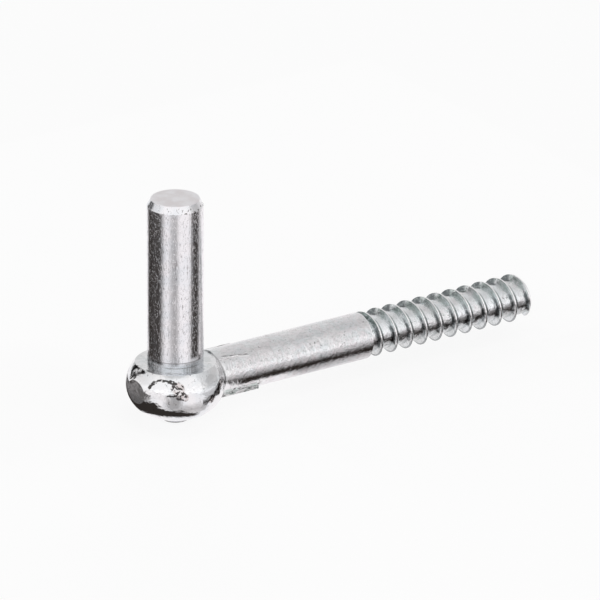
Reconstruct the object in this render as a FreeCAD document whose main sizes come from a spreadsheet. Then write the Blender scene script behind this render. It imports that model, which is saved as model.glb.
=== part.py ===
import FreeCAD, Part
import math
import os
import Sketcher
from FreeCAD import Placement, Rotation, Vector

# Gate hinge pin to screw into a timber post, in millimetres.
# The origin is at the foot of the upright pin, on its seat. +Z runs up the pin and
# +Y runs along the shank to the blunt end of its thread, which goes into the post.

doc = FreeCAD.newDocument("GateHingePin")

# Driving dimensions, one named cell each
sheet = doc.addObject("Spreadsheet::Sheet", "Sizes")
drivingSizes = [
    ("pinDiameter", 16.0, "upright pin, which the gate's eye turns on"),
    ("pinHeight", 49.3, "seat to the pin's top"),
    ("pinChamferRise", 2.0, "height of the chamfer round the pin's top"),
    ("pinChamferInset", 1.1, "how far that chamfer comes in"),
    ("shoulderSink", 0.3, "how deep the pin's shoulder is let into the seat"),
    ("shoulderChamfer", 0.3, "how far the chamfer round that shoulder comes in"),
    ("tenonDiameter", 7.4, "tenon of the pin, through the head"),
    ("rivetDiameter", 8.4, "upset end of the tenon, under the head"),
    ("rivetSink", 2.0, "depth of the countersink that the upset end fills"),
    ("rivetProud", 1.75, "how far the upset end stands out under the head"),
    ("rivetChamfer", 0.5, "chamfer round the upset end"),
    ("headDiameter", 28.1, "flattened ball, seen from above"),
    ("headBulge", 9.2, "radius of the ball's rounded side"),
    ("sideTurn", 19.0, "turn of each arc of the ball's side, in degrees"),
    ("headFacet", 13.4, "pin's axis to the flat opposite the shank"),
    ("axisDepth", 6.4, "seat down to the shank's axis"),
    ("spotFaceDiameter", 23.4, "cutter that faced the seat and the root of the shank"),
    ("shankDiameter", 13.6, "plain shank"),
    ("shankReach", 63.4, "pin's axis to the end of the plain shank"),
    ("threadReach", 119.0, "pin's axis to the blunt end"),
    ("threadPitch", 5.2, "one turn of the thread"),
    ("threadDepth", 1.6, "plain shank down to the thread's root"),
    ("threadRelief", 0.05, "how far the crest lies below the plain shank"),
    ("ridgeStart", 59.9, "pin's axis to the start of the thread's ridge, inside the plain shank"),
    ("crestWidth", 0.4, "flat on the crest"),
    ("nearFlankWidth", 0.35, "slope of the flank that faces the head, along the shank"),
    ("farFlankWidth", 0.9, "slope of the flank that faces the tip, along the shank"),
    ("rootBlend", 0.7, "slope between the flank that faces the tip and the root, each way"),
    ("rootOverlap", 0.05, "how far that slope runs on below the root"),
    ("ridgeBury", 0.3, "how far the ridge's foot is buried in the root"),
    ("endChamfer", 0.8, "chamfer round the blunt end"),
    ("upperFinAngle", 38.0, "upper forging fins on the neck, from the vertical, in degrees"),
    ("upperFinHeight", 0.35, "upper fins, above the shank"),
    ("upperFinWidth", 1.5, "upper fins, where they leave the shank"),
    ("upperFinReach", 21.5, "pin's axis to the end of the upper fins"),
    ("lowerFinAngle", 35.0, "lower forging fins on the neck, from the vertical, in degrees"),
    ("lowerFinHeight", 0.8, "lower fins, above the shank"),
    ("lowerFinWidth", 2.4, "lower fins, where they leave the shank"),
    ("lowerFinReach", 25.5, "pin's axis to the end of the lower fins"),
]
for row, (alias, value, note) in enumerate(drivingSizes, start=1):
    sheet.set(f"A{row}", note)
    sheet.set(f"B{row}", str(value))
    sheet.setAlias(f"B{row}", alias)
doc.recompute()


def new_body(label):
    body = doc.addObject("PartDesign::Body", label)
    body.Label = label
    return body


def new_sketch(body, role, name, shift=None):
    # shift is the expression that moves the sketch's origin along its own vertical axis
    plane = next(item for item in body.Origin.OriginFeatures if item.Role == role)
    sketch = body.newObject("Sketcher::SketchObject", name)
    sketch.AttachmentSupport = [(plane, "")]
    sketch.MapMode = "FlatFace"
    if shift:
        sketch.setExpression("AttachmentOffset.Base.y", shift)
    return sketch


def bulge_point(start, end, radius):
    # middle of the arc from start to end, to the left of the way for a positive radius
    half = (end - start) * 0.5
    left = Vector(-half.y, half.x, 0).normalize()
    rise = abs(radius) - math.sqrt(radius * radius - half.Length ** 2)
    return start + half + left * math.copysign(rise, radius)


def draw_outline(sketch, corners, arcs=None):
    # corners hold an expression each for x and y. arcs gives the radius of the edge that
    # leaves a corner, as a side (1 left, -1 right) and an expression
    arcs = arcs or {}
    points = [Vector(sketch.evalExpression(x), sketch.evalExpression(y), 0) for x, y in corners]
    count = len(points)
    edges = []
    for index, start in enumerate(points):
        end = points[(index + 1) % count]
        if index in arcs:
            side, radius = arcs[index]
            middle = bulge_point(start, end, side * sketch.evalExpression(radius))
            shape = Part.Arc(start, middle, end)
        else:
            shape = Part.LineSegment(start, end)
        edges.append(sketch.addGeometry(shape, False))
    # an arc's own start and end swap when it runs clockwise
    ends = []
    for index, edge in enumerate(edges):
        first = sketch.getPoint(edge, 1)
        ends.append((1, 2) if first.distanceToPoint(points[index]) < 1e-6 else (2, 1))
    for index, edge in enumerate(edges):
        following = (index + 1) % count
        sketch.addConstraint(Sketcher.Constraint(
            "Coincident", edge, ends[index][1], edges[following], ends[following][0]))
    for index, (x, y) in enumerate(corners):
        place_point(sketch, edges[index], ends[index][0], x, y)
    for index, (side, radius) in arcs.items():
        value = sketch.evalExpression(radius)
        number = sketch.addConstraint(Sketcher.Constraint("Radius", edges[index], value))
        sketch.setExpression(f"Constraints[{number}]", radius)


def place_point(sketch, edge, end, x, y):
    for kind, axis, expression in (("DistanceX", -2, x), ("DistanceY", -1, y)):
        if expression == "0":
            sketch.addConstraint(Sketcher.Constraint("PointOnObject", edge, end, axis))
            continue
        value = sketch.evalExpression(expression)
        number = sketch.addConstraint(Sketcher.Constraint(kind, -1, 1, edge, end, value))
        sketch.setExpression(f"Constraints[{number}]", expression)


def draw_circle(sketch, radius, x="0", y="0"):
    centre = Vector(sketch.evalExpression(x), sketch.evalExpression(y), 0)
    value = sketch.evalExpression(radius)
    circle = sketch.addGeometry(Part.Circle(centre, Vector(0, 0, 1), value), False)
    place_point(sketch, circle, 3, x, y)
    number = sketch.addConstraint(Sketcher.Constraint("Radius", circle, value))
    sketch.setExpression(f"Constraints[{number}]", radius)


def turn_profile(body, kind, name, sketch, axis):
    # a Revolution or Groove, all the way round one axis of its own sketch
    feature = body.newObject("PartDesign::" + kind, name)
    feature.Profile = sketch
    feature.ReferenceAxis = (sketch, [axis])
    feature.Angle = 360
    return feature


shaftDrop = "-Sizes.axisDepth"
shankRadius = "Sizes.shankDiameter / 2"
crestRadius = "(Sizes.shankDiameter / 2 - Sizes.threadRelief)"
rootRadiusAt = "(Sizes.shankDiameter / 2 - Sizes.threadDepth)"
ballRadiusCentre = "(Sizes.headDiameter / 2 - Sizes.headBulge)"
ballBottom = "-(Sizes.axisDepth + Sizes.headBulge)"

# Forged screw: the ball head, the neck with its fins, the shank and the thread
screw = new_body("threaded_shank")

# ball, with the seat cut flat across its top and a smaller flat under it
headOutline = new_sketch(screw, "XZ_Plane", "HeadOutline")
seatEdge = f"{ballRadiusCentre} + sqrt(Sizes.headBulge ^ 2 - Sizes.axisDepth ^ 2)"
ballSide = []
for turns in (4, 3, 2, 1, 0, -1):
    angle = f"{turns} * Sizes.sideTurn * 1 deg"
    ballSide.append((
        f"{ballRadiusCentre} + Sizes.headBulge * cos({angle})",
        f"-Sizes.axisDepth - Sizes.headBulge * sin({angle})",
    ))
ballArcs = {edge: (-1, "Sizes.headBulge") for edge in range(2, 3 + len(ballSide))}
draw_outline(headOutline, [
    ("0", "0"),
    ("0", ballBottom),
    (ballRadiusCentre, ballBottom),
    *ballSide,
    (seatEdge, "0"),
], ballArcs)
head = turn_profile(screw, "Revolution", "Head", headOutline, "V_Axis")

# plain shank, stepped down to the root of the thread
shankOutline = new_sketch(screw, "YZ_Plane", "ShankOutline", shaftDrop)
draw_outline(shankOutline, [
    ("0", "0"),
    ("Sizes.threadReach", "0"),
    ("Sizes.threadReach", rootRadiusAt),
    ("Sizes.shankReach + Sizes.threadDepth / 2", rootRadiusAt),
    ("Sizes.shankReach", shankRadius),
    ("0", shankRadius),
])
shank = turn_profile(screw, "Revolution", "Shank", shankOutline, "H_Axis")

# fins that the gripping dies left on the neck, in two pairs
def add_fins(name, angle, height, width, reach):
    sketch = new_sketch(screw, "XZ_Plane", name + "Outline", shaftDrop)
    foot = f"({shankRadius} - {height})"
    tip = f"({shankRadius} + {height})"
    spread = f"asin({width} / Sizes.shankDiameter)"
    for side in ("", "-"):
        draw_outline(sketch, [
            (f"{side}{foot} * sin({angle} - {spread})", f"{foot} * cos({angle} - {spread})"),
            (f"{side}{tip} * sin({angle})", f"{tip} * cos({angle})"),
            (f"{side}{foot} * sin({angle} + {spread})", f"{foot} * cos({angle} + {spread})"),
        ])
    fins = screw.newObject("PartDesign::Pad", name)
    fins.Profile = sketch
    fins.setExpression("Length", reach)
    fins.Reversed = True


add_fins(
    "UpperFins", "Sizes.upperFinAngle * 1 deg",
    "Sizes.upperFinHeight", "Sizes.upperFinWidth", "Sizes.upperFinReach")
add_fins(
    "LowerFins", "(180 - Sizes.lowerFinAngle) * 1 deg",
    "Sizes.lowerFinHeight", "Sizes.lowerFinWidth", "Sizes.lowerFinReach")

# right-hand thread: one narrow ridge wound on the root, starting inside the plain shank
ridgeOutline = new_sketch(screw, "YZ_Plane", "RidgeOutline", shaftDrop)
nearCrest = "Sizes.ridgeStart - Sizes.crestWidth / 2"
farCrest = "Sizes.ridgeStart + Sizes.crestWidth / 2"
ridgeFoot = f"({rootRadiusAt} - Sizes.ridgeBury)"
nearFoot = f"{nearCrest} - Sizes.nearFlankWidth"
farFoot = f"{farCrest} + Sizes.farFlankWidth + Sizes.rootBlend"
farShare = "(1 - Sizes.rootBlend / Sizes.threadDepth)"
draw_outline(ridgeOutline, [
    (nearFoot, ridgeFoot),
    (farFoot, ridgeFoot),
    (farFoot, f"({rootRadiusAt} - Sizes.rootOverlap)"),
    (f"{farCrest} + Sizes.farFlankWidth * {farShare}", f"({rootRadiusAt} + Sizes.rootBlend)"),
    (farCrest, crestRadius),
    (nearCrest, crestRadius),
])
ridge = screw.newObject("PartDesign::AdditiveHelix", "Thread")
ridge.Profile = ridgeOutline
ridge.ReferenceAxis = (ridgeOutline, ["H_Axis"])
ridge.Mode = "pitch-height-angle"
ridge.setExpression("Pitch", "Sizes.threadPitch")
ridge.setExpression("Height", "Sizes.threadReach - Sizes.ridgeStart + Sizes.threadPitch / 2")
ridge.LeftHanded = False
ridge.HasBeenEdited = True

# blunt end, chamfered
endOutline = new_sketch(screw, "YZ_Plane", "EndOutline", shaftDrop)
beyond = "Sizes.threadReach + Sizes.shankDiameter"
draw_outline(endOutline, [
    ("Sizes.threadReach", "0"),
    (beyond, "0"),
    (beyond, "Sizes.shankDiameter"),
    ("Sizes.threadReach - Sizes.shankDiameter / 2 - Sizes.endChamfer", "Sizes.shankDiameter"),
    ("Sizes.threadReach", f"{shankRadius} - Sizes.endChamfer"),
])
bluntEnd = turn_profile(screw, "Groove", "BluntEnd", endOutline, "H_Axis")

# seat faced flat, which also trims the root of the shank where it stands above it
spotOutline = new_sketch(screw, "XY_Plane", "SpotFaceOutline")
draw_circle(spotOutline, "Sizes.spotFaceDiameter / 2")
spotFace = screw.newObject("PartDesign::Pocket", "SpotFace")
spotFace.Profile = spotOutline
spotFace.Type = "Length"
spotFace.setExpression("Length", "Sizes.shankDiameter")
spotFace.Reversed = True

# flat on the end away from the shank
facetOutline = new_sketch(screw, "YZ_Plane", "FacetOutline", shaftDrop)
draw_outline(facetOutline, [
    ("-Sizes.headFacet", "Sizes.headBulge"),
    ("-Sizes.headDiameter", "Sizes.headBulge"),
    ("-Sizes.headDiameter", "-Sizes.headBulge"),
    ("-Sizes.headFacet", "-Sizes.headBulge"),
])
facet = screw.newObject("PartDesign::Pocket", "Facet")
facet.Profile = facetOutline
facet.Type = "Length"
facet.Midplane = True
facet.setExpression("Length", "Sizes.headDiameter")

# hole for the tenon, let in for the pin's shoulder above and countersunk underneath
boreOutline = new_sketch(screw, "XZ_Plane", "BoreOutline")
sinkTop = f"({ballBottom} + Sizes.rivetSink)"
draw_outline(boreOutline, [
    ("0", "Sizes.rivetSink"),
    ("0", f"{ballBottom} - Sizes.rivetSink"),
    ("Sizes.rivetDiameter / 2", f"{ballBottom} - Sizes.rivetSink"),
    ("Sizes.rivetDiameter / 2", ballBottom),
    ("Sizes.tenonDiameter / 2", sinkTop),
    ("Sizes.tenonDiameter / 2", "-Sizes.shoulderSink"),
    ("Sizes.pinDiameter / 2", "-Sizes.shoulderSink"),
    ("Sizes.pinDiameter / 2", "Sizes.rivetSink"),
])
bore = turn_profile(screw, "Groove", "TenonHole", boreOutline, "V_Axis")
screw.Tip = bore

# Upright pin: turned, with a shoulder on the seat and a riveted tenon
pin = new_body("hinge_pin")
pinOutline = new_sketch(pin, "XZ_Plane", "PinOutline")
rivetFace = f"({ballBottom} - Sizes.rivetProud)"
draw_outline(pinOutline, [
    ("0", rivetFace),
    ("Sizes.rivetDiameter / 2 - Sizes.rivetChamfer", rivetFace),
    ("Sizes.rivetDiameter / 2", f"{rivetFace} + Sizes.rivetChamfer"),
    ("Sizes.rivetDiameter / 2", ballBottom),
    ("Sizes.tenonDiameter / 2", sinkTop),
    ("Sizes.tenonDiameter / 2", "-Sizes.shoulderSink"),
    ("Sizes.pinDiameter / 2 - Sizes.shoulderChamfer", "-Sizes.shoulderSink"),
    ("Sizes.pinDiameter / 2", "0"),
    ("Sizes.pinDiameter / 2", "Sizes.pinHeight - Sizes.pinChamferRise"),
    ("Sizes.pinDiameter / 2 - Sizes.pinChamferInset", "Sizes.pinHeight"),
    ("0", "Sizes.pinHeight"),
])
turnedPin = turn_profile(pin, "Revolution", "TurnedPin", pinOutline, "V_Axis")
pin.Tip = turnedPin

doc.recompute()

# Nothing is written unless every object is sound
for item in doc.Objects:
    if "Invalid" in item.State or "Error" in item.State:
        raise RuntimeError(f"{item.Name} did not build: {item.State}")

os.makedirs("parts", exist_ok=True)
for body in (screw, pin):
    body.Placement = Placement(Vector(0, 0, 0), Rotation())
    shape = body.Shape
    if shape.isNull() or not shape.isValid():
        raise RuntimeError(f"{body.Label} has no sound shape")
    print(body.Label, "solids", len(shape.Solids), "volume", round(shape.Volume, 1), shape.BoundBox)
    shape.exportStep(f"parts/{body.Label}.step")
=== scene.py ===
import math
import bpy
from mathutils import Matrix, Vector


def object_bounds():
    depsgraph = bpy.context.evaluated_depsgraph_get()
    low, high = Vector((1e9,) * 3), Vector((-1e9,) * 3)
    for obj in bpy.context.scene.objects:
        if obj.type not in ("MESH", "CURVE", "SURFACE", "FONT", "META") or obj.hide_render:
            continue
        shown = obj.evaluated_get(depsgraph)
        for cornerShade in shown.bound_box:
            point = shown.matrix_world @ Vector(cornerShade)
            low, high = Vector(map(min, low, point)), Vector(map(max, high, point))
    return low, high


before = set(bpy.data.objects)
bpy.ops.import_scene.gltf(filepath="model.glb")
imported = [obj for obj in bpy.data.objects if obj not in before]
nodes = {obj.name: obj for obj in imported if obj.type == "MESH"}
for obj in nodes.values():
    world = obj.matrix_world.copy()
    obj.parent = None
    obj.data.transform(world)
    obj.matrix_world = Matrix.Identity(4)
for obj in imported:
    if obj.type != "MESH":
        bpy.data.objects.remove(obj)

cadBox = [list(cornerShade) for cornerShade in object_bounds()]
radianDegrees = 57.2958


class Signal:  # one output socket, so that shader maths reads as a plain expression
    def __init__(self, graph, socket):
        self.graph = graph
        self.socket = socket

    def __add__(self, other):
        return self.graph.maths("ADD", self, other)

    def __radd__(self, other):
        return self.graph.maths("ADD", other, self)

    def __sub__(self, other):
        return self.graph.maths("SUBTRACT", self, other)

    def __rsub__(self, other):
        return self.graph.maths("SUBTRACT", other, self)

    def __mul__(self, other):
        return self.graph.maths("MULTIPLY", self, other)

    def __rmul__(self, other):
        return self.graph.maths("MULTIPLY", other, self)

    def __truediv__(self, other):
        return self.graph.maths("DIVIDE", self, other)

    def __pow__(self, other):
        return self.graph.maths("POWER", self, other)

    def also(self, name):  # another output of the same node
        return Signal(self.graph, self.socket.node.outputs[name])


class Graph:  # the node tree of a material or of the world
    def __init__(self, tree):
        self.tree = tree
        tree.nodes.clear()

    def node(self, kind, settings=None, sockets=None, output=0):
        made = self.tree.nodes.new(kind)
        for name, value in (settings or {}).items():
            if name == "stops":
                ramp = made.color_ramp
                while len(ramp.elements) < len(value):
                    ramp.elements.new(0.5)
                for element, (place, colour) in zip(ramp.elements, value):
                    element.position = place
                    element.color = colour
            else:
                setattr(made, name, value)
        for name, value in (sockets or {}).items():
            if isinstance(value, Signal):
                self.tree.links.new(value.socket, made.inputs[name])
            else:
                made.inputs[name].default_value = value
        return Signal(self, made.outputs[output]) if made.outputs else made

    def place(self, stretch=(1, 1, 1)):  # the piece's own coordinates in millimetres
        spot = self.node("ShaderNodeTexCoord", output="Object")
        factors = [1000 * value for value in stretch]
        return self.node("ShaderNodeVectorMath", {"operation": "MULTIPLY"}, {0: spot, 1: factors})

    def noise(self, vector, size, detail=2.0, rough=0.5, warp=0.0):  # size in millimetres
        return self.node("ShaderNodeTexNoise", {}, {
            "Vector": vector, "Scale": 1 / size, "Detail": detail,
            "Roughness": rough, "Distortion": warp})

    def maths(self, operation, first, second=0.0):
        return self.node("ShaderNodeMath", {"operation": operation}, {0: first, 1: second})

    def near(self, value, centre, width):  # one at the centre, fading out over the width
        return self.step(self.maths("ABSOLUTE", value - centre), width, 0.4 * width)

    def step(self, value, start, end, low=0.0, high=1.0):  # smooth step from start to end
        return self.node("ShaderNodeMapRange", {"interpolation_type": "SMOOTHSTEP"}, {
            "Value": value, "From Min": start, "From Max": end, "To Min": low, "To Max": high})

    def tone(self, value, low, high, stops):  # grey levels along a value, linear between
        ramp = [((place - low) / (high - low), (grey, grey, grey, 1.0)) for place, grey in stops]
        share = self.node("ShaderNodeMapRange", {}, {"Value": value, "From Min": low, "From Max": high})
        return self.node("ShaderNodeValToRGB", {"stops": ramp}, {"Fac": share})

    def mix(self, share, first, second):  # two colours
        return self.node("ShaderNodeMix", {"data_type": "RGBA", "clamp_factor": True}, {
            0: share, 6: first, 7: second}, output=2)

    def bump(self, height, depth, below=None):  # depth in millimetres
        sockets = {"Height": height, "Strength": 1.0, "Distance": depth / 1000}
        if below:
            sockets["Normal"] = below
        return self.node("ShaderNodeBump", {}, sockets)


def newMaterial(name):
    material = bpy.data.materials.new(name)
    material.use_nodes = True
    return material, Graph(material.node_tree)


def finishMaterial(graph, **sockets):
    named = {name.replace("_", " "): value for name, value in sockets.items()}
    shader = graph.node("ShaderNodeBsdfPrincipled", {}, named)
    graph.node("ShaderNodeOutputMaterial", {}, {"Surface": shader})


def rgba(red, green, blue):
    return (red, green, blue, 1.0)


# Upright pin: drawn bar under bright zinc, finely pitted along its sides
pinLook = {
    "bright": rgba(0.88, 0.865, 0.885),
    "bluish": rgba(0.76, 0.79, 0.83),
    "foot": rgba(0.56, 0.60, 0.64),
    "sheared": rgba(0.80, 0.765, 0.775),
    # dark of the pits, also used for painted shade and painted reflection
    "pitAndShade": rgba(0.16, 0.15, 0.145),
    "roughness": 0.12,
    "footHeight": 2.3,     # duller band round the foot
    "footRings": (2.3, 0.8),
    "ringWidth": 0.22,
    "footBandFront": (-6.6, -7.6),  # along the shank's axis, where the foot's dark edge, a painted reflection, starts and is full
    "footBandRight": (7.5, 7.9),    # and across it
    "topStart": 49.2,      # sheared face on top
    "chamferStart": 47.3,
    "nickRise": 1.3,       # nicks reach this far up the chamfer
    "rivetRim": -16.85,    # chamfer of the riveted end, darkened there as painted shade
    "pitSize": 0.8,
    "grainSize": 0.40,
    "grainDepth": 0.030,
    "craterSize": 0.36,
    "craterDepth": 0.026,
}


def zincPin():
    look = pinLook
    material, graph = newMaterial("pinZinc")
    spot = graph.place()
    drawn = graph.place((1, 1, 0.32))
    sideways = graph.node("ShaderNodeSeparateXYZ", {}, {0: spot})
    height = sideways.also("Z")
    # patterns
    cloud = graph.noise(spot, 5.0, 3.0)
    grain = graph.noise(drawn, look["grainSize"], 2.0, 0.6)
    pits = graph.step(graph.noise(drawn, look["pitSize"], 3.0, 0.65), 0.60, 0.70)
    craters = graph.step(graph.noise(drawn, look["craterSize"], 2.0, 0.5), 0.57, 0.64)
    blots = graph.step(graph.noise(spot, 1.0, 2.0, 0.5), 0.59, 0.64)
    # zones, from the foot up
    foot = graph.step(height + 0.6 * (cloud - 0.5), look["footHeight"] + 0.35, look["footHeight"] - 0.35)
    # painted reflection: the pin's dark side bands carried on into the foot band
    footDarkBands = graph.maths("MAXIMUM", graph.step(sideways.also("Y"), *look["footBandFront"]),
                       graph.step(sideways, *look["footBandRight"]) * 0.8)
    top = graph.step(height, look["topStart"] - 0.1, look["topStart"])
    chamfer = graph.step(height, look["chamferStart"] - 0.1, look["chamferStart"]) * (1 - top)
    nicks = graph.step(height, look["chamferStart"] - 0.3, look["chamferStart"]) * graph.step(
        height, look["chamferStart"] + look["nickRise"], look["chamferStart"] + 0.6)
    # painted shade on the rivet's rim
    rimShade = graph.step(height, look["rivetRim"] + 0.1, look["rivetRim"])
    rings = 0
    for level in look["footRings"]:
        rings = rings + graph.near(height + 0.25 * (cloud - 0.5), level, look["ringWidth"])
    # colour
    colour = graph.mix(graph.step(cloud, 0.35, 0.7, 0.0, 0.6), look["bright"], look["bluish"])
    colour = graph.mix(foot * 0.5, colour, look["foot"])
    # the foot band's sides darkened as painted reflection
    colour = graph.mix(foot * footDarkBands * graph.step(grain, 0.35, 0.65, 0.75, 0.35), colour, look["pitAndShade"])
    colour = graph.mix(top, colour, graph.mix(graph.step(cloud, 0.35, 0.6), look["sheared"], look["bright"]))
    colour = graph.mix(pits * (1 - top) * 0.45, colour, look["pitAndShade"])
    colour = graph.mix(blots * nicks * 0.95, colour, look["pitAndShade"])
    colour = graph.mix(rings * graph.step(cloud, 0.4, 0.6, 0.1, 0.5), colour, look["pitAndShade"])
    # painted shade on the rivet's rim, broken by the grain
    colour = graph.mix(rimShade * graph.step(grain, 0.62, 0.48, 0.4, 0.95), colour, look["pitAndShade"])
    roughness = look["roughness"] + 0.08 * cloud - foot * 0.02 + top * 0.24
    side = 1 - top * 0.7 - chamfer * 0.8  # smoother on the top and its chamfer
    normal = graph.bump(cloud, 0.06)
    normal = graph.bump(grain * side, look["grainDepth"], normal)
    normal = graph.bump(craters * side, look["craterDepth"], normal)
    finishMaterial(graph, Base_Color=colour, Metallic=1.0, Roughness=roughness, Normal=normal)
    return material


# Forged screw: glossy tumbled head, mottled shank, thread with painted highlights on its crests
screwLook = {
    "bright": rgba(0.87, 0.86, 0.87),
    "bluish": rgba(0.76, 0.79, 0.82),
    "rosy": rgba(0.80, 0.75, 0.77),
    "greenish": rgba(0.48, 0.54, 0.52),
    "flank": rgba(0.13, 0.145, 0.15),   # painted shade on the thread's sides
    # painted highlight, on the thread's crests, the fins' streaks and beside the upper fins
    "crest": rgba(0.97, 0.96, 0.97),
    "stain": rgba(0.50, 0.40, 0.38),    # round the marks on the ball
    "pale": rgba(0.90, 0.925, 0.945),   # clouds on the thread
    # dark of the pits, also used for painted shade and painted reflection
    "pitAndShade": rgba(0.05, 0.046, 0.044),
    "headEnd": 14.0,       # along the shank
    "threadStart": 63.4,
    "axisDrop": 6.4,
    "crestRadius": 6.55,
    "shankRadius": 6.8,
    "ballCentre": 4.85,    # circle that the ball's rounded side turns about
    "ballRadius": 9.2,
    "slitAngle": 31.5,     # painted shadow line beside the upper fin, in degrees from the vertical
    "slitTurn": 1.4,       # its slant, in degrees for each millimetre along
    "slitMiddle": 14.5,    # where its angle holds, along the shank
    "slitEnd": 22.5,
    "finEnd": 27.0,
    "raggedAngle": 131.0,  # ragged painted shade above the lower fin
    "raggedEnd": 26.5,
    "cornerDrop": 1.6,     # painted shade blots in the thread's roots, this far below the axis
    # patches of dark flecks on the ball: centre and radius
    "marks": [((11.6, -7.0, -3.2), 2.2), ((12.2, -6.5, -4.9), 1.9), ((12.8, -5.3, -5.8), 1.3),
              ((13.4, 3.4, -7.8), 1.6), ((11.3, 7.6, -4.6), 1.4)],
    # painted reflections on it, drawn as dark strokes: two ends and half the width
    "reflectionStrokes": [((-3.3, -13.1, -3.2), (-4.1, -11.9, -1.3), 0.45), ((-4.1, -11.9, -1.3), (-2.9, -11.3, -0.3), 0.55),
                  ((-2.9, -11.3, -0.3), (1.2, -11.5, -0.2), 0.35), ((-2.7, -13.2, -3.2), (-1.5, -12.6, -1.6), 0.30),
                  ((-1.5, -12.6, -1.6), (1.4, -11.6, -0.4), 0.30), ((5.4, -12.5, -3.5), (6.1, -11.4, -2.0), 0.45),
                  ((6.1, -11.4, -2.0), (7.5, -10.0, -1.2), 0.30), ((7.5, -10.0, -1.2), (9.4, -8.3, -1.4), 0.32),
                  ((9.4, -8.3, -1.4), (10.6, -7.2, -1.9), 0.5), ((10.2, -9.5, -5.2), (11.8, -7.5, -5.2), 0.25),
                  ((11.4, 7.9, -4.6), (13.1, 4.6, -6.2), 0.4), ((13.1, 4.6, -6.2), (13.3, 3.7, -8.0), 0.45)],
}


def offStroke(graph, spot, first, second):  # distance to a straight stroke between two points
    run = Vector(second) - Vector(first)
    offset = graph.node("ShaderNodeVectorMath", {"operation": "SUBTRACT"}, {0: spot, 1: first})
    share = graph.node("ShaderNodeVectorMath", {"operation": "DOT_PRODUCT"}, {
        0: offset, 1: run / run.length_squared}, output="Value")
    share = graph.node("ShaderNodeClamp", {}, {"Value": share})
    foot = graph.node("ShaderNodeVectorMath", {"operation": "SCALE"}, {0: run, "Scale": share})
    return graph.node("ShaderNodeVectorMath", {"operation": "DISTANCE"}, {0: offset, 1: foot}, output="Value")


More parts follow.
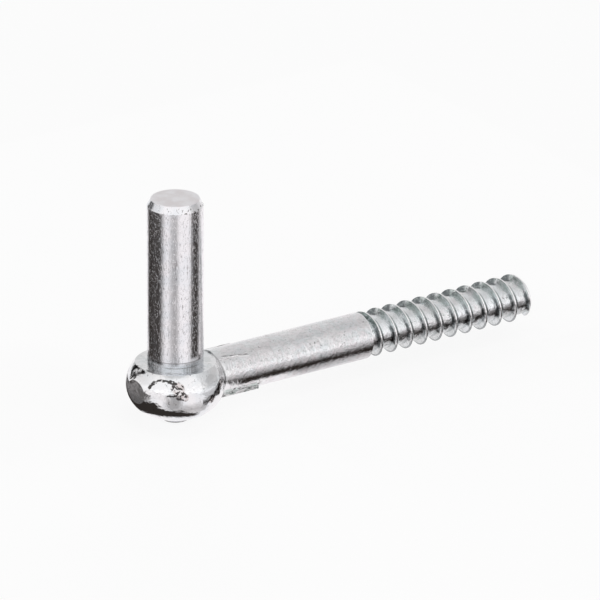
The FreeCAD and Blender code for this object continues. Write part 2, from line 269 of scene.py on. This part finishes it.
def zincScrew():
    look = screwLook
    material, graph = newMaterial("screwZinc")
    spot = graph.place()
    sideways = graph.node("ShaderNodeSeparateXYZ", {}, {0: spot})
    along = sideways.also("Y")
    upward = sideways.also("Z") + look["axisDrop"]  # from the shank's axis
    radius = (sideways * sideways + upward * upward) ** 0.5
    # zones of the forging and of the thread
    head = graph.step(along, look["headEnd"] + 1.5, look["headEnd"] - 1.0)
    seat = graph.step(upward, look["axisDrop"] - 0.15, look["axisDrop"] - 0.05) * head
    thread = graph.step(along, look["threadStart"] - 0.5, look["threadStart"] + 0.5)
    outer = thread * graph.step(radius, look["crestRadius"] - 0.35, look["crestRadius"] - 0.15)
    facing = graph.node("ShaderNodeNewGeometry", output="Normal")
    lengthwise = graph.maths("ABSOLUTE", graph.node("ShaderNodeSeparateXYZ", {}, {0: facing}, output="Y"))
    crest = outer * graph.step(upward, -3.4, -2.2)
    crest = crest * graph.maths("MAXIMUM", graph.step(lengthwise, 0.75, 0.45), graph.step(upward, 3.6, 1.6))
    slope = thread * graph.step(lengthwise, 0.35, 0.6)
    flank = thread * graph.step(lengthwise, 0.62, 0.82)
    low = graph.step(upward, -1.0, -4.0)
    over = graph.step(upward, 3.0, 4.6)
    below = graph.step(upward, -1.6, -3.0) * thread
    # painted shade along the edge of the lower lobes
    lobeEdgeShade = below * graph.step(radius, look["crestRadius"] - 0.3, look["crestRadius"] - 0.1) * 0.55
    # painted shade in the thread's roots
    cornerShade = graph.step(graph.maths("ABSOLUTE", upward + look["cornerDrop"]), 1.8, 0.6)
    cornerShade = thread * (1 - crest) * cornerShade * graph.step(graph.maths("ABSOLUTE", sideways), 2.0, 3.5)
    # patterns
    cloud = graph.noise(spot, 7.0, 3.0, 0.55, 0.4)
    mottle = graph.noise(spot, 2.6, 4.0, 0.6, 1.2)
    grain = graph.noise(spot, 1.0, 3.0, 0.65)
    stain = 0.5 * (mottle + grain)
    fine = graph.noise(graph.place((1, 0.6, 1)), 0.7, 3.0, 0.7)
    streak = graph.noise(graph.place((1, 0.35, 1)), 0.9, 3.0, 0.6, 0.4)
    pits = graph.step(graph.noise(spot, 1.0, 3.0, 0.65), 0.62, 0.71)
    blots = graph.step(graph.noise(spot, 1.9, 3.0, 0.6, 0.6), 0.54, 0.60)
    flecks = graph.step(graph.noise(spot, 0.75, 2.0, 0.5, 0.5), 0.49, 0.54)
    beads = graph.step(graph.noise(spot, 0.8, 1.0), 0.38, 0.46, 0.35, 1.0)
    # marks, and painted reflection strokes, on the ball
    marks = 0
    for centre, size in look["marks"]:
        away = graph.node("ShaderNodeVectorMath", {"operation": "DISTANCE"}, {0: spot, 1: centre}, output="Value")
        marks = marks + graph.step(away, size, size - 0.6)
    stained = graph.step(marks, 0.0, 1.0) * head
    marks = stained * flecks
    reflectionStroke = 5.0
    for first, second, width in look["reflectionStrokes"]:
        reflectionStroke = graph.maths("MINIMUM", reflectionStroke, offStroke(graph, spot, first, second) - width)
    reflectionStroke = graph.step(reflectionStroke + 1.1 * (graph.noise(spot, 0.7, 2.0) - 0.5), 0.12, -0.08) * head * beads
    # painted shade: dark line in the crease where the shank leaves the ball
    fromBall = graph.maths("ABSOLUTE", (((sideways * sideways + along * along) ** 0.5 - look["ballCentre"]) ** 2.0
                                        + upward * upward) ** 0.5 - look["ballRadius"])
    fromShank = graph.maths("ABSOLUTE", radius - look["shankRadius"])
    creaseShade = graph.step(fromBall, 0.50, 0.15) * graph.step(fromShank, 0.50, 0.15) * graph.step(along, 8.0, 9.0)
    creaseShade = creaseShade * graph.step(upward, 5.0, 0.0, 0.35, 0.85)
    # fins; the painted shadow line and the painted highlight line beside the upper ones; the ragged painted shade
    # above the lower ones
    fin = graph.step(radius, look["shankRadius"] + 0.03, look["shankRadius"] + 0.12)
    fin = fin * graph.step(along, look["finEnd"], look["finEnd"] - 1.0) * graph.step(along, 13.0, 15.0)
    turn = graph.maths("ARCTAN2", graph.maths("ABSOLUTE", sideways), upward) * radianDegrees
    slit = turn - look["slitAngle"] - look["slitTurn"] * (along - look["slitMiddle"])
    slitSpan = graph.step(along, look["slitEnd"], look["slitEnd"] - 1.0) * graph.step(along, 13.0, 14.0)
    # painted shadow beside the upper fins, and a painted highlight just below it
    slitShadow = graph.near(slit, 0.0, 2.4) * slitSpan
    slitHighlight = graph.near(slit, 3.6, 3.2) * slitSpan
    # painted shade above the lower fins, broken into streaks
    raggedShade = graph.near(turn, look["raggedAngle"], 14.0) * (1 - fin)
    raggedShade = raggedShade * graph.step(along, look["raggedEnd"], look["raggedEnd"] - 2.0) * graph.step(along, 12.0, 14.0)
    # clouds in the zinc
    colour = graph.mix(graph.step(cloud, 0.35, 0.65, 0.0, 0.7), look["bright"], look["bluish"])
    colour = graph.mix((1 - head) * graph.step(mottle, 0.4, 0.62) * 0.7, colour, look["rosy"])
    colour = graph.mix((1 - head) * graph.step(fine, 0.46, 0.62) * 0.3, colour, look["greenish"])
    colour = graph.mix(thread * graph.step(cloud, 0.42, 0.58, 0.25, 0.75), colour, look["pale"])
    # thread: painted reflection on the sloping sides, painted shade on the flanks, painted highlight on the crests
    # painted reflection: greenish tone set by how the thread's sides face and by height
    slopeReflection = slope * (1 - low) * graph.step(mottle, 0.62, 0.42, 0.15, 0.7)
    slopeReflection = graph.maths("MAXIMUM", slopeReflection, over * slope * graph.step(stain, 0.56, 0.46, 0.25, 0.95))
    slopeReflection = graph.maths("MAXIMUM", slopeReflection, below * graph.step(mottle, 0.40, 0.60, 0.1, 0.45))
    colour = graph.mix(slopeReflection, colour, look["greenish"])
    # painted shadow where each crest starts at the top
    crestStartShadow = slope * over * graph.step(sideways, -0.9, -2.3) * graph.step(grain, 0.35, 0.55, 0.55, 1.0)
    colour = graph.mix(graph.maths("MAXIMUM", crestStartShadow, lobeEdgeShade), colour, look["flank"])
    # painted shade on the flanks
    shade = flank * graph.step(radius, 6.25, 5.85) * graph.step(upward, 4.6, 2.4, 0.25, 0.95)
    shade = shade * graph.step(upward, -3.6, -2.0)
    colour = graph.mix(shade * graph.step(mottle, 0.66, 0.46, 0.5, 1.0), colour, look["flank"])
    # painted highlight along the crests
    colour = graph.mix(crest, colour, look["crest"])
    # seat, fins and marks
    colour = graph.mix(seat * graph.step(mottle, 0.45, 0.62, 0.0, 0.3), colour, look["greenish"])
    colour = graph.mix(pits * (1 - crest) * 0.6, colour, look["pitAndShade"])
    # the fins' burr streaks: greenish and dark, the pale ones painted highlights
    finTone = graph.mix(graph.step(streak, 0.44, 0.54), look["greenish"], look["crest"])
    finTone = graph.mix(graph.step(streak, 0.42, 0.36) * 0.8, finTone, look["pitAndShade"])
    finTone = graph.mix(graph.step(upward, 0.0, 1.0), finTone, look["bright"])
    colour = graph.mix(fin, colour, finTone)
    colour = graph.mix(slitHighlight, colour, look["crest"])
    # painted shade above the lower fins, in greenish and dark streaks
    colour = graph.mix(raggedShade * graph.step(streak, 0.47, 0.53), colour, look["greenish"])
    colour = graph.mix(raggedShade * graph.step(streak, 0.47, 0.42), colour, look["pitAndShade"])
    colour = graph.mix(graph.maths("MAXIMUM", creaseShade, slitShadow * graph.step(mottle, 0.4, 0.6, 0.2, 0.65)),
                       colour, look["pitAndShade"])
    colour = graph.mix(stained * graph.step(grain, 0.35, 0.65, 0.15, 0.6), colour, look["stain"])
    # dark flecks of the marks, and the painted reflection strokes
    colour = graph.mix(graph.maths("MAXIMUM", marks, reflectionStroke) * 0.97, colour, look["pitAndShade"])
    # painted shade blots in the thread's roots
    colour = graph.mix(cornerShade * blots * 0.85, colour, look["pitAndShade"])
    # gloss and relief
    roughness = 0.09 + 0.10 * mottle - head * 0.05 + thread * 0.06 + fin * 0.25
    wave = graph.bump(cloud * (1 + head), 0.25)
    dents = graph.bump(mottle * (1 - head * 0.5), 0.14, wave)
    normal = graph.bump(grain * (1 - head * 0.6 + thread * 0.8) + fin * streak, 0.06, dents)
    finishMaterial(graph, Base_Color=colour, Metallic=1.0, Roughness=roughness, Normal=normal)
    return material


def dress(nodeName, material):
    piece = nodes[nodeName]
    for place in piece.material_slots:
        place.material = material


dress("hinge_pin", zincPin())
dress("threaded_shank", zincScrew())
print("zinc finishes on both pieces")


# Camera of the photograph, long lens, slightly above
cameraView = {
    "azimuth": 55.6,
    "elevation": 21.556,
    "roll": 0.155,
    "distance": 3.5594,
    "lens": 756.0,
    "sensor": 36.0,
    "aimRight": 0.03516,   # from the pin's foot
    "aimUp": 0.0173,
}


def makeCamera():
    turn = math.radians(cameraView["azimuth"])
    rise = math.radians(cameraView["elevation"])
    right = Vector((math.cos(turn), math.sin(turn), 0))
    back = Vector((math.sin(turn) * math.cos(rise), -math.cos(turn) * math.cos(rise), math.sin(rise)))
    up = back.cross(right)
    roll = math.radians(cameraView["roll"])
    side = right * math.cos(roll) + up * math.sin(roll)
    head = up * math.cos(roll) - right * math.sin(roll)
    place = right * cameraView["aimRight"] + up * cameraView["aimUp"] + back * cameraView["distance"]
    data = bpy.data.cameras.new("photoCamera")
    data.lens = cameraView["lens"]
    data.sensor_width = cameraView["sensor"]
    data.clip_start = 0.1
    data.clip_end = 50
    camera = bpy.data.objects.new("photoCamera", data)
    camera.matrix_world = Matrix((
        (side.x, head.x, back.x, place.x),
        (side.y, head.y, back.y, place.y),
        (side.z, head.z, back.z, place.z),
        (0, 0, 0, 1)))
    bpy.context.scene.collection.objects.link(camera)
    bpy.context.scene.camera = camera
    return right, back


right, back = makeCamera()
print("camera set")


# Studio: white floor, soft sky, and cards on the floor that only the gloss sees
studio = {
    "floorSize": 12.0,
    "floorColour": rgba(0.90, 0.90, 0.90),
    "floorGlow": 0.86,     # share of the floor that is lit from below
    "boxPower": 0.8,
    "cardReach": 0.42,
    "cardLight": (1.0, 0.98, 0.99),
    "cardDark": (0.014, 0.009, 0.006),
    "flagHeight": 0.0012,  # dark flags left and right, above the shank's top
    # brightness by heading, in degrees to the right of the camera's, as the upright pin shows it
    "headings": [(-180, 1.0), (-153, 1.0), (-144, 0.45), (-137, 0.03), (-130, 0.02), (-112, 0.025),
                 (-98, 0.05), (-64, 0.035), (-57, 0.18), (-51, 0.52), (-44, 0.80), (-37, 0.94), (-30, 0.98),
                 (-22, 0.80), (-14, 0.57), (-7, 0.44), (4, 0.40), (10, 0.58), (17, 0.98), (26, 1.0), (57, 1.0),
                 (64, 0.76), (71, 0.40), (79, 0.10), (86, 0.03), (102, 0.03), (108, 0.10), (115, 0.38),
                 (124, 0.85), (150, 1.05), (180, 1.0)],
    # the same for the sky, which fades to skyTop overhead
    "skyRing": [(-180, 0.79), (-158, 0.72), (-120, 0.74), (-96, 0.84), (-66, 0.96),
                (-45, 1.06), (58, 1.06), (66, 0.98), (72, 0.84), (90, 0.76), (106, 0.70), (128, 0.60),
                (150, 0.70), (180, 0.79)],
    "skyTop": 0.67,
}
floorLevel = cadBox[0][2]


def meshObject(name, corners, faces, material):
    mesh = bpy.data.meshes.new(name)
    mesh.from_pydata(corners, [], faces)
    mesh.materials.append(material)
    made = bpy.data.objects.new(name, mesh)
    bpy.context.scene.collection.objects.link(made)
    return made


def flatSquare(name, half, level, material):
    corners = [(-half, -half, level), (half, -half, level), (half, half, level), (-half, half, level)]
    made = meshObject(name, corners, [(0, 1, 2, 3)], material)
    return made


def makeFloor():
    material, graph = newMaterial("floorWhite")
    tone = graph.noise(graph.place(), 400.0, 1.0)
    colour = graph.mix(tone, studio["floorColour"], rgba(0.91, 0.91, 0.91))
    paper = graph.node("ShaderNodeBsdfPrincipled", {}, {"Base Color": colour, "Roughness": 0.9})
    glow = graph.node("ShaderNodeEmission", {}, {"Color": rgba(1, 1, 1), "Strength": 1.0})
    ray = graph.node("ShaderNodeLightPath", output="Is Camera Ray")
    share = studio["floorGlow"] * (ray + ray.also("Is Glossy Ray"))
    surface = graph.node("ShaderNodeMixShader", {}, {0: share, 1: paper, 2: glow})
    graph.node("ShaderNodeOutputMaterial", {}, {"Surface": surface})
    flatSquare("studioFloor", studio["floorSize"] / 2, floorLevel, material)


def headingFrom(graph, across, along):  # degrees to the right of the camera's own heading
    toward = Vector((back.x, back.y, 0)).normalized()
    rightward = across * right.x + along * right.y
    forward = across * toward.x + along * toward.y
    return graph.maths("ARCTAN2", rightward, forward) * radianDegrees


def cardGlow(graph, level):
    light, dark = Vector(studio["cardLight"]), Vector(studio["cardDark"])
    colour = graph.node("ShaderNodeVectorMath", {"operation": "MULTIPLY_ADD"}, {0: level, 1: light - dark, 2: dark})
    return graph.node("ShaderNodeEmission", {}, {"Color": colour, "Strength": 1.0})


def hideCard(card):  # only gloss sees it
    card.visible_camera = False
    card.visible_diffuse = False
    card.visible_shadow = False


def makeCard():
    material, graph = newMaterial("floorCard")
    across = graph.node("ShaderNodeSeparateXYZ", {}, {0: graph.place()})
    along = across.also("Y")
    reach = (across * across + along * along) ** 0.5
    heading = headingFrom(graph, across, along)
    ring = graph.tone(heading, -180, 180, studio["headings"])
    flagged = graph.step(heading, 42.0, 50.0) * graph.step(heading, 108.0, 102.0)  # left to the flags
    ring = ring + flagged * (1 - ring)
    flagged = graph.step(heading, -38.0, -44.0) * graph.step(reach, 62.0, 78.0)
    ring = ring + flagged * (1 - ring)
    # the ring starts where the pin's own rays land, and nearer in the middle
    middle = graph.near(heading, -4.0, 26.0) * graph.step(reach, 17.0, 19.0)
    near = graph.maths("MAXIMUM", graph.step(reach, 36.0, 46.0), middle)
    level = 1 + near * (ring - 1)
    leftward = graph.step(heading, -45.0, -62.0) * graph.step(heading, -152.0, -138.0)
    level = level * (1 - 0.88 * leftward * graph.step(reach, 22.0, 26.0) * (1 - near))
    # dark patches that the ball shows: the painted shadow under it, and a softer dark patch above
    outer = 16.5 + 9.0 * graph.step(heading, -16.0, -42.0) - 2.2 * graph.step(heading, 5.0, 35.0)
    under = graph.step(reach, 10.0, 11.5) * graph.step(reach, outer + 1.0, outer - 1.0)
    under = under * graph.step(heading, 52.0, 34.0)
    soft = 0.48 * graph.step(reach, 28.0, 16.0) * graph.step(reach, 13.0, 16.0)
    soft = soft * graph.step(heading, -14.0, 0.0) * graph.step(heading, 70.0, 56.0)
    under = graph.maths("MAXIMUM", under, soft)
    strip = graph.tone(across, 0, 120, [  # painted shadow beside the shank
        (8.3, 1.0), (9.2, 0.02), (14.8, 0.0), (17.5, 0.12), (22, 0.32), (27, 0.54), (36, 0.58), (49, 0.62),
        (80, 0.8), (118, 1.0)])
    beside = graph.step(along, 20.0, 24.0) * graph.step(along, 150.0, 128.0)
    far = graph.tone(across, -60, 0, [  # painted shadow on its other side
        (-46, 1.0), (-28, 0.62), (-20, 0.30), (-15, 0.06), (-10.4, 0.03), (-9.4, 0.9), (-8.6, 1.0)])
    # painted shadow beside the head and neck
    cornerShade = graph.tone(across, 0, 50, [(16.5, 1.0), (18.5, 0.04), (21, 0.06), (25, 0.4), (30, 1.0)])
    before = graph.step(along, 4.0, 9.0) * graph.step(along, 26.0, 21.0)
    for shade in (1 - 0.98 * under, 1 + beside * (strip - 1), 1 + beside * (far - 1), 1 + before * (cornerShade - 1)):
        level = graph.maths("MINIMUM", level, shade)
    level = level + graph.step(reach, 188.0, 202.0) * (1 - level)
    graph.node("ShaderNodeOutputMaterial", {}, {"Surface": cardGlow(graph, level)})
    hideCard(flatSquare("floorCard", studio["cardReach"] / 2, floorLevel + 0.0004, material))


def makeFlags():  # the pin's dark sides, which the ball and the shank must not show
    material, graph = newMaterial("sideFlags")
    across = graph.node("ShaderNodeSeparateXYZ", {}, {0: graph.place()})
    along = across.also("Y")
    reach = (across * across + along * along) ** 0.5
    heading = headingFrom(graph, across, along)
    ray = heading * reach / (reach - 4.0)  # the heading of the pin's own reflected ray
    wider = 4.0 * graph.step(reach, 90.0, 40.0) * graph.step(ray, 88.0, 76.0)
    ring = graph.tone(ray + wider, -180, 180, studio["headings"])
    level = ring + graph.step(reach, 188.0, 202.0) * (1 - ring)
    within = graph.step(heading, 41.5, 42.0) * graph.step(heading, 150.0, 149.5)
    within = within * graph.step(graph.maths("ABSOLUTE", across), 6.8, 7.0) + graph.step(heading, -38.0, -38.5)
    within = within * graph.step(reach, 12.4, 12.6)
    below = graph.node("ShaderNodeNewGeometry", output="Backfacing")
    clear = graph.node("ShaderNodeBsdfTransparent", {}, {"Color": rgba(1, 1, 1)})
    surface = graph.node("ShaderNodeMixShader", {}, {0: within * (1 - below), 1: clear, 2: cardGlow(graph, level)})
    graph.node("ShaderNodeOutputMaterial", {}, {"Surface": surface})
    hideCard(flatSquare("sideFlags", studio["cardReach"] / 2, studio["flagHeight"], material))


makeFloor()
makeCard()
makeFlags()


def makeWorld():
    world = bpy.data.worlds.new("studioWorld")
    bpy.context.scene.world = world
    world.use_nodes = True
    graph = Graph(world.node_tree)
    direction = graph.node("ShaderNodeTexCoord", output="Generated")
    across = graph.node("ShaderNodeSeparateXYZ", {}, {0: direction})
    rise = across.also("Z")
    heading = headingFrom(graph, across, across.also("Y"))
    ring = graph.tone(heading, -180, 180, studio["skyRing"])
    overhead = graph.step(rise, 0.70, 0.95)
    # what the ball shows of the sky: a post, a slanting card, a duller side
    post = graph.near(heading, -137.0, 15.0) * graph.step(rise, 0.46, 0.38)
    slant = graph.near(rise - 0.0262 * (heading + 123), 0.05, 0.20)
    slant = slant * graph.step(heading, -128.0, -124.0) * graph.step(heading, -98.0, -104.0)
    dark = graph.maths("MAXIMUM", post, slant) * 0.96
    dull = graph.step(heading, 68.0, 84.0) * graph.step(heading, 124.0, 108.0) * graph.step(rise, 0.46, 0.38)
    dark = graph.maths("MAXIMUM", dark, dull * 0.26)
    level = (ring + overhead * (studio["skyTop"] - ring)) * (1 - dark)
    level = level * (1 + 0.18 * graph.step(rise, 0.26, 0.10))
    seen = graph.node("ShaderNodeLightPath", output="Is Camera Ray")
    glow = seen + (1 - seen) * level
    white = graph.node("ShaderNodeCombineXYZ", {}, {0: glow, 1: glow, 2: glow})
    sky = graph.node("ShaderNodeBackground", {}, {"Color": white, "Strength": 1.0})
    graph.node("ShaderNodeOutputWorld", {}, {"Surface": sky})


def makeSoftbox(name, place, aim, size, power):
    data = bpy.data.lights.new(name, "AREA")
    data.shape = "RECTANGLE"
    data.size, data.size_y = size
    data.energy = power
    lamp = bpy.data.objects.new(name, data)
    lamp.location = place
    lamp.rotation_mode = "QUATERNION"
    lamp.rotation_quaternion = (Vector(aim) - Vector(place)).to_track_quat("-Z", "Y")
    lamp.visible_glossy = False
    bpy.context.scene.collection.objects.link(lamp)


makeWorld()
makeSoftbox("overheadBox", (0.25, -0.1, 0.9), (0.0, 0.04, 0.0), (0.7, 0.5), studio["boxPower"])
bpy.context.scene.view_settings.view_transform = "Standard"
print("studio set")
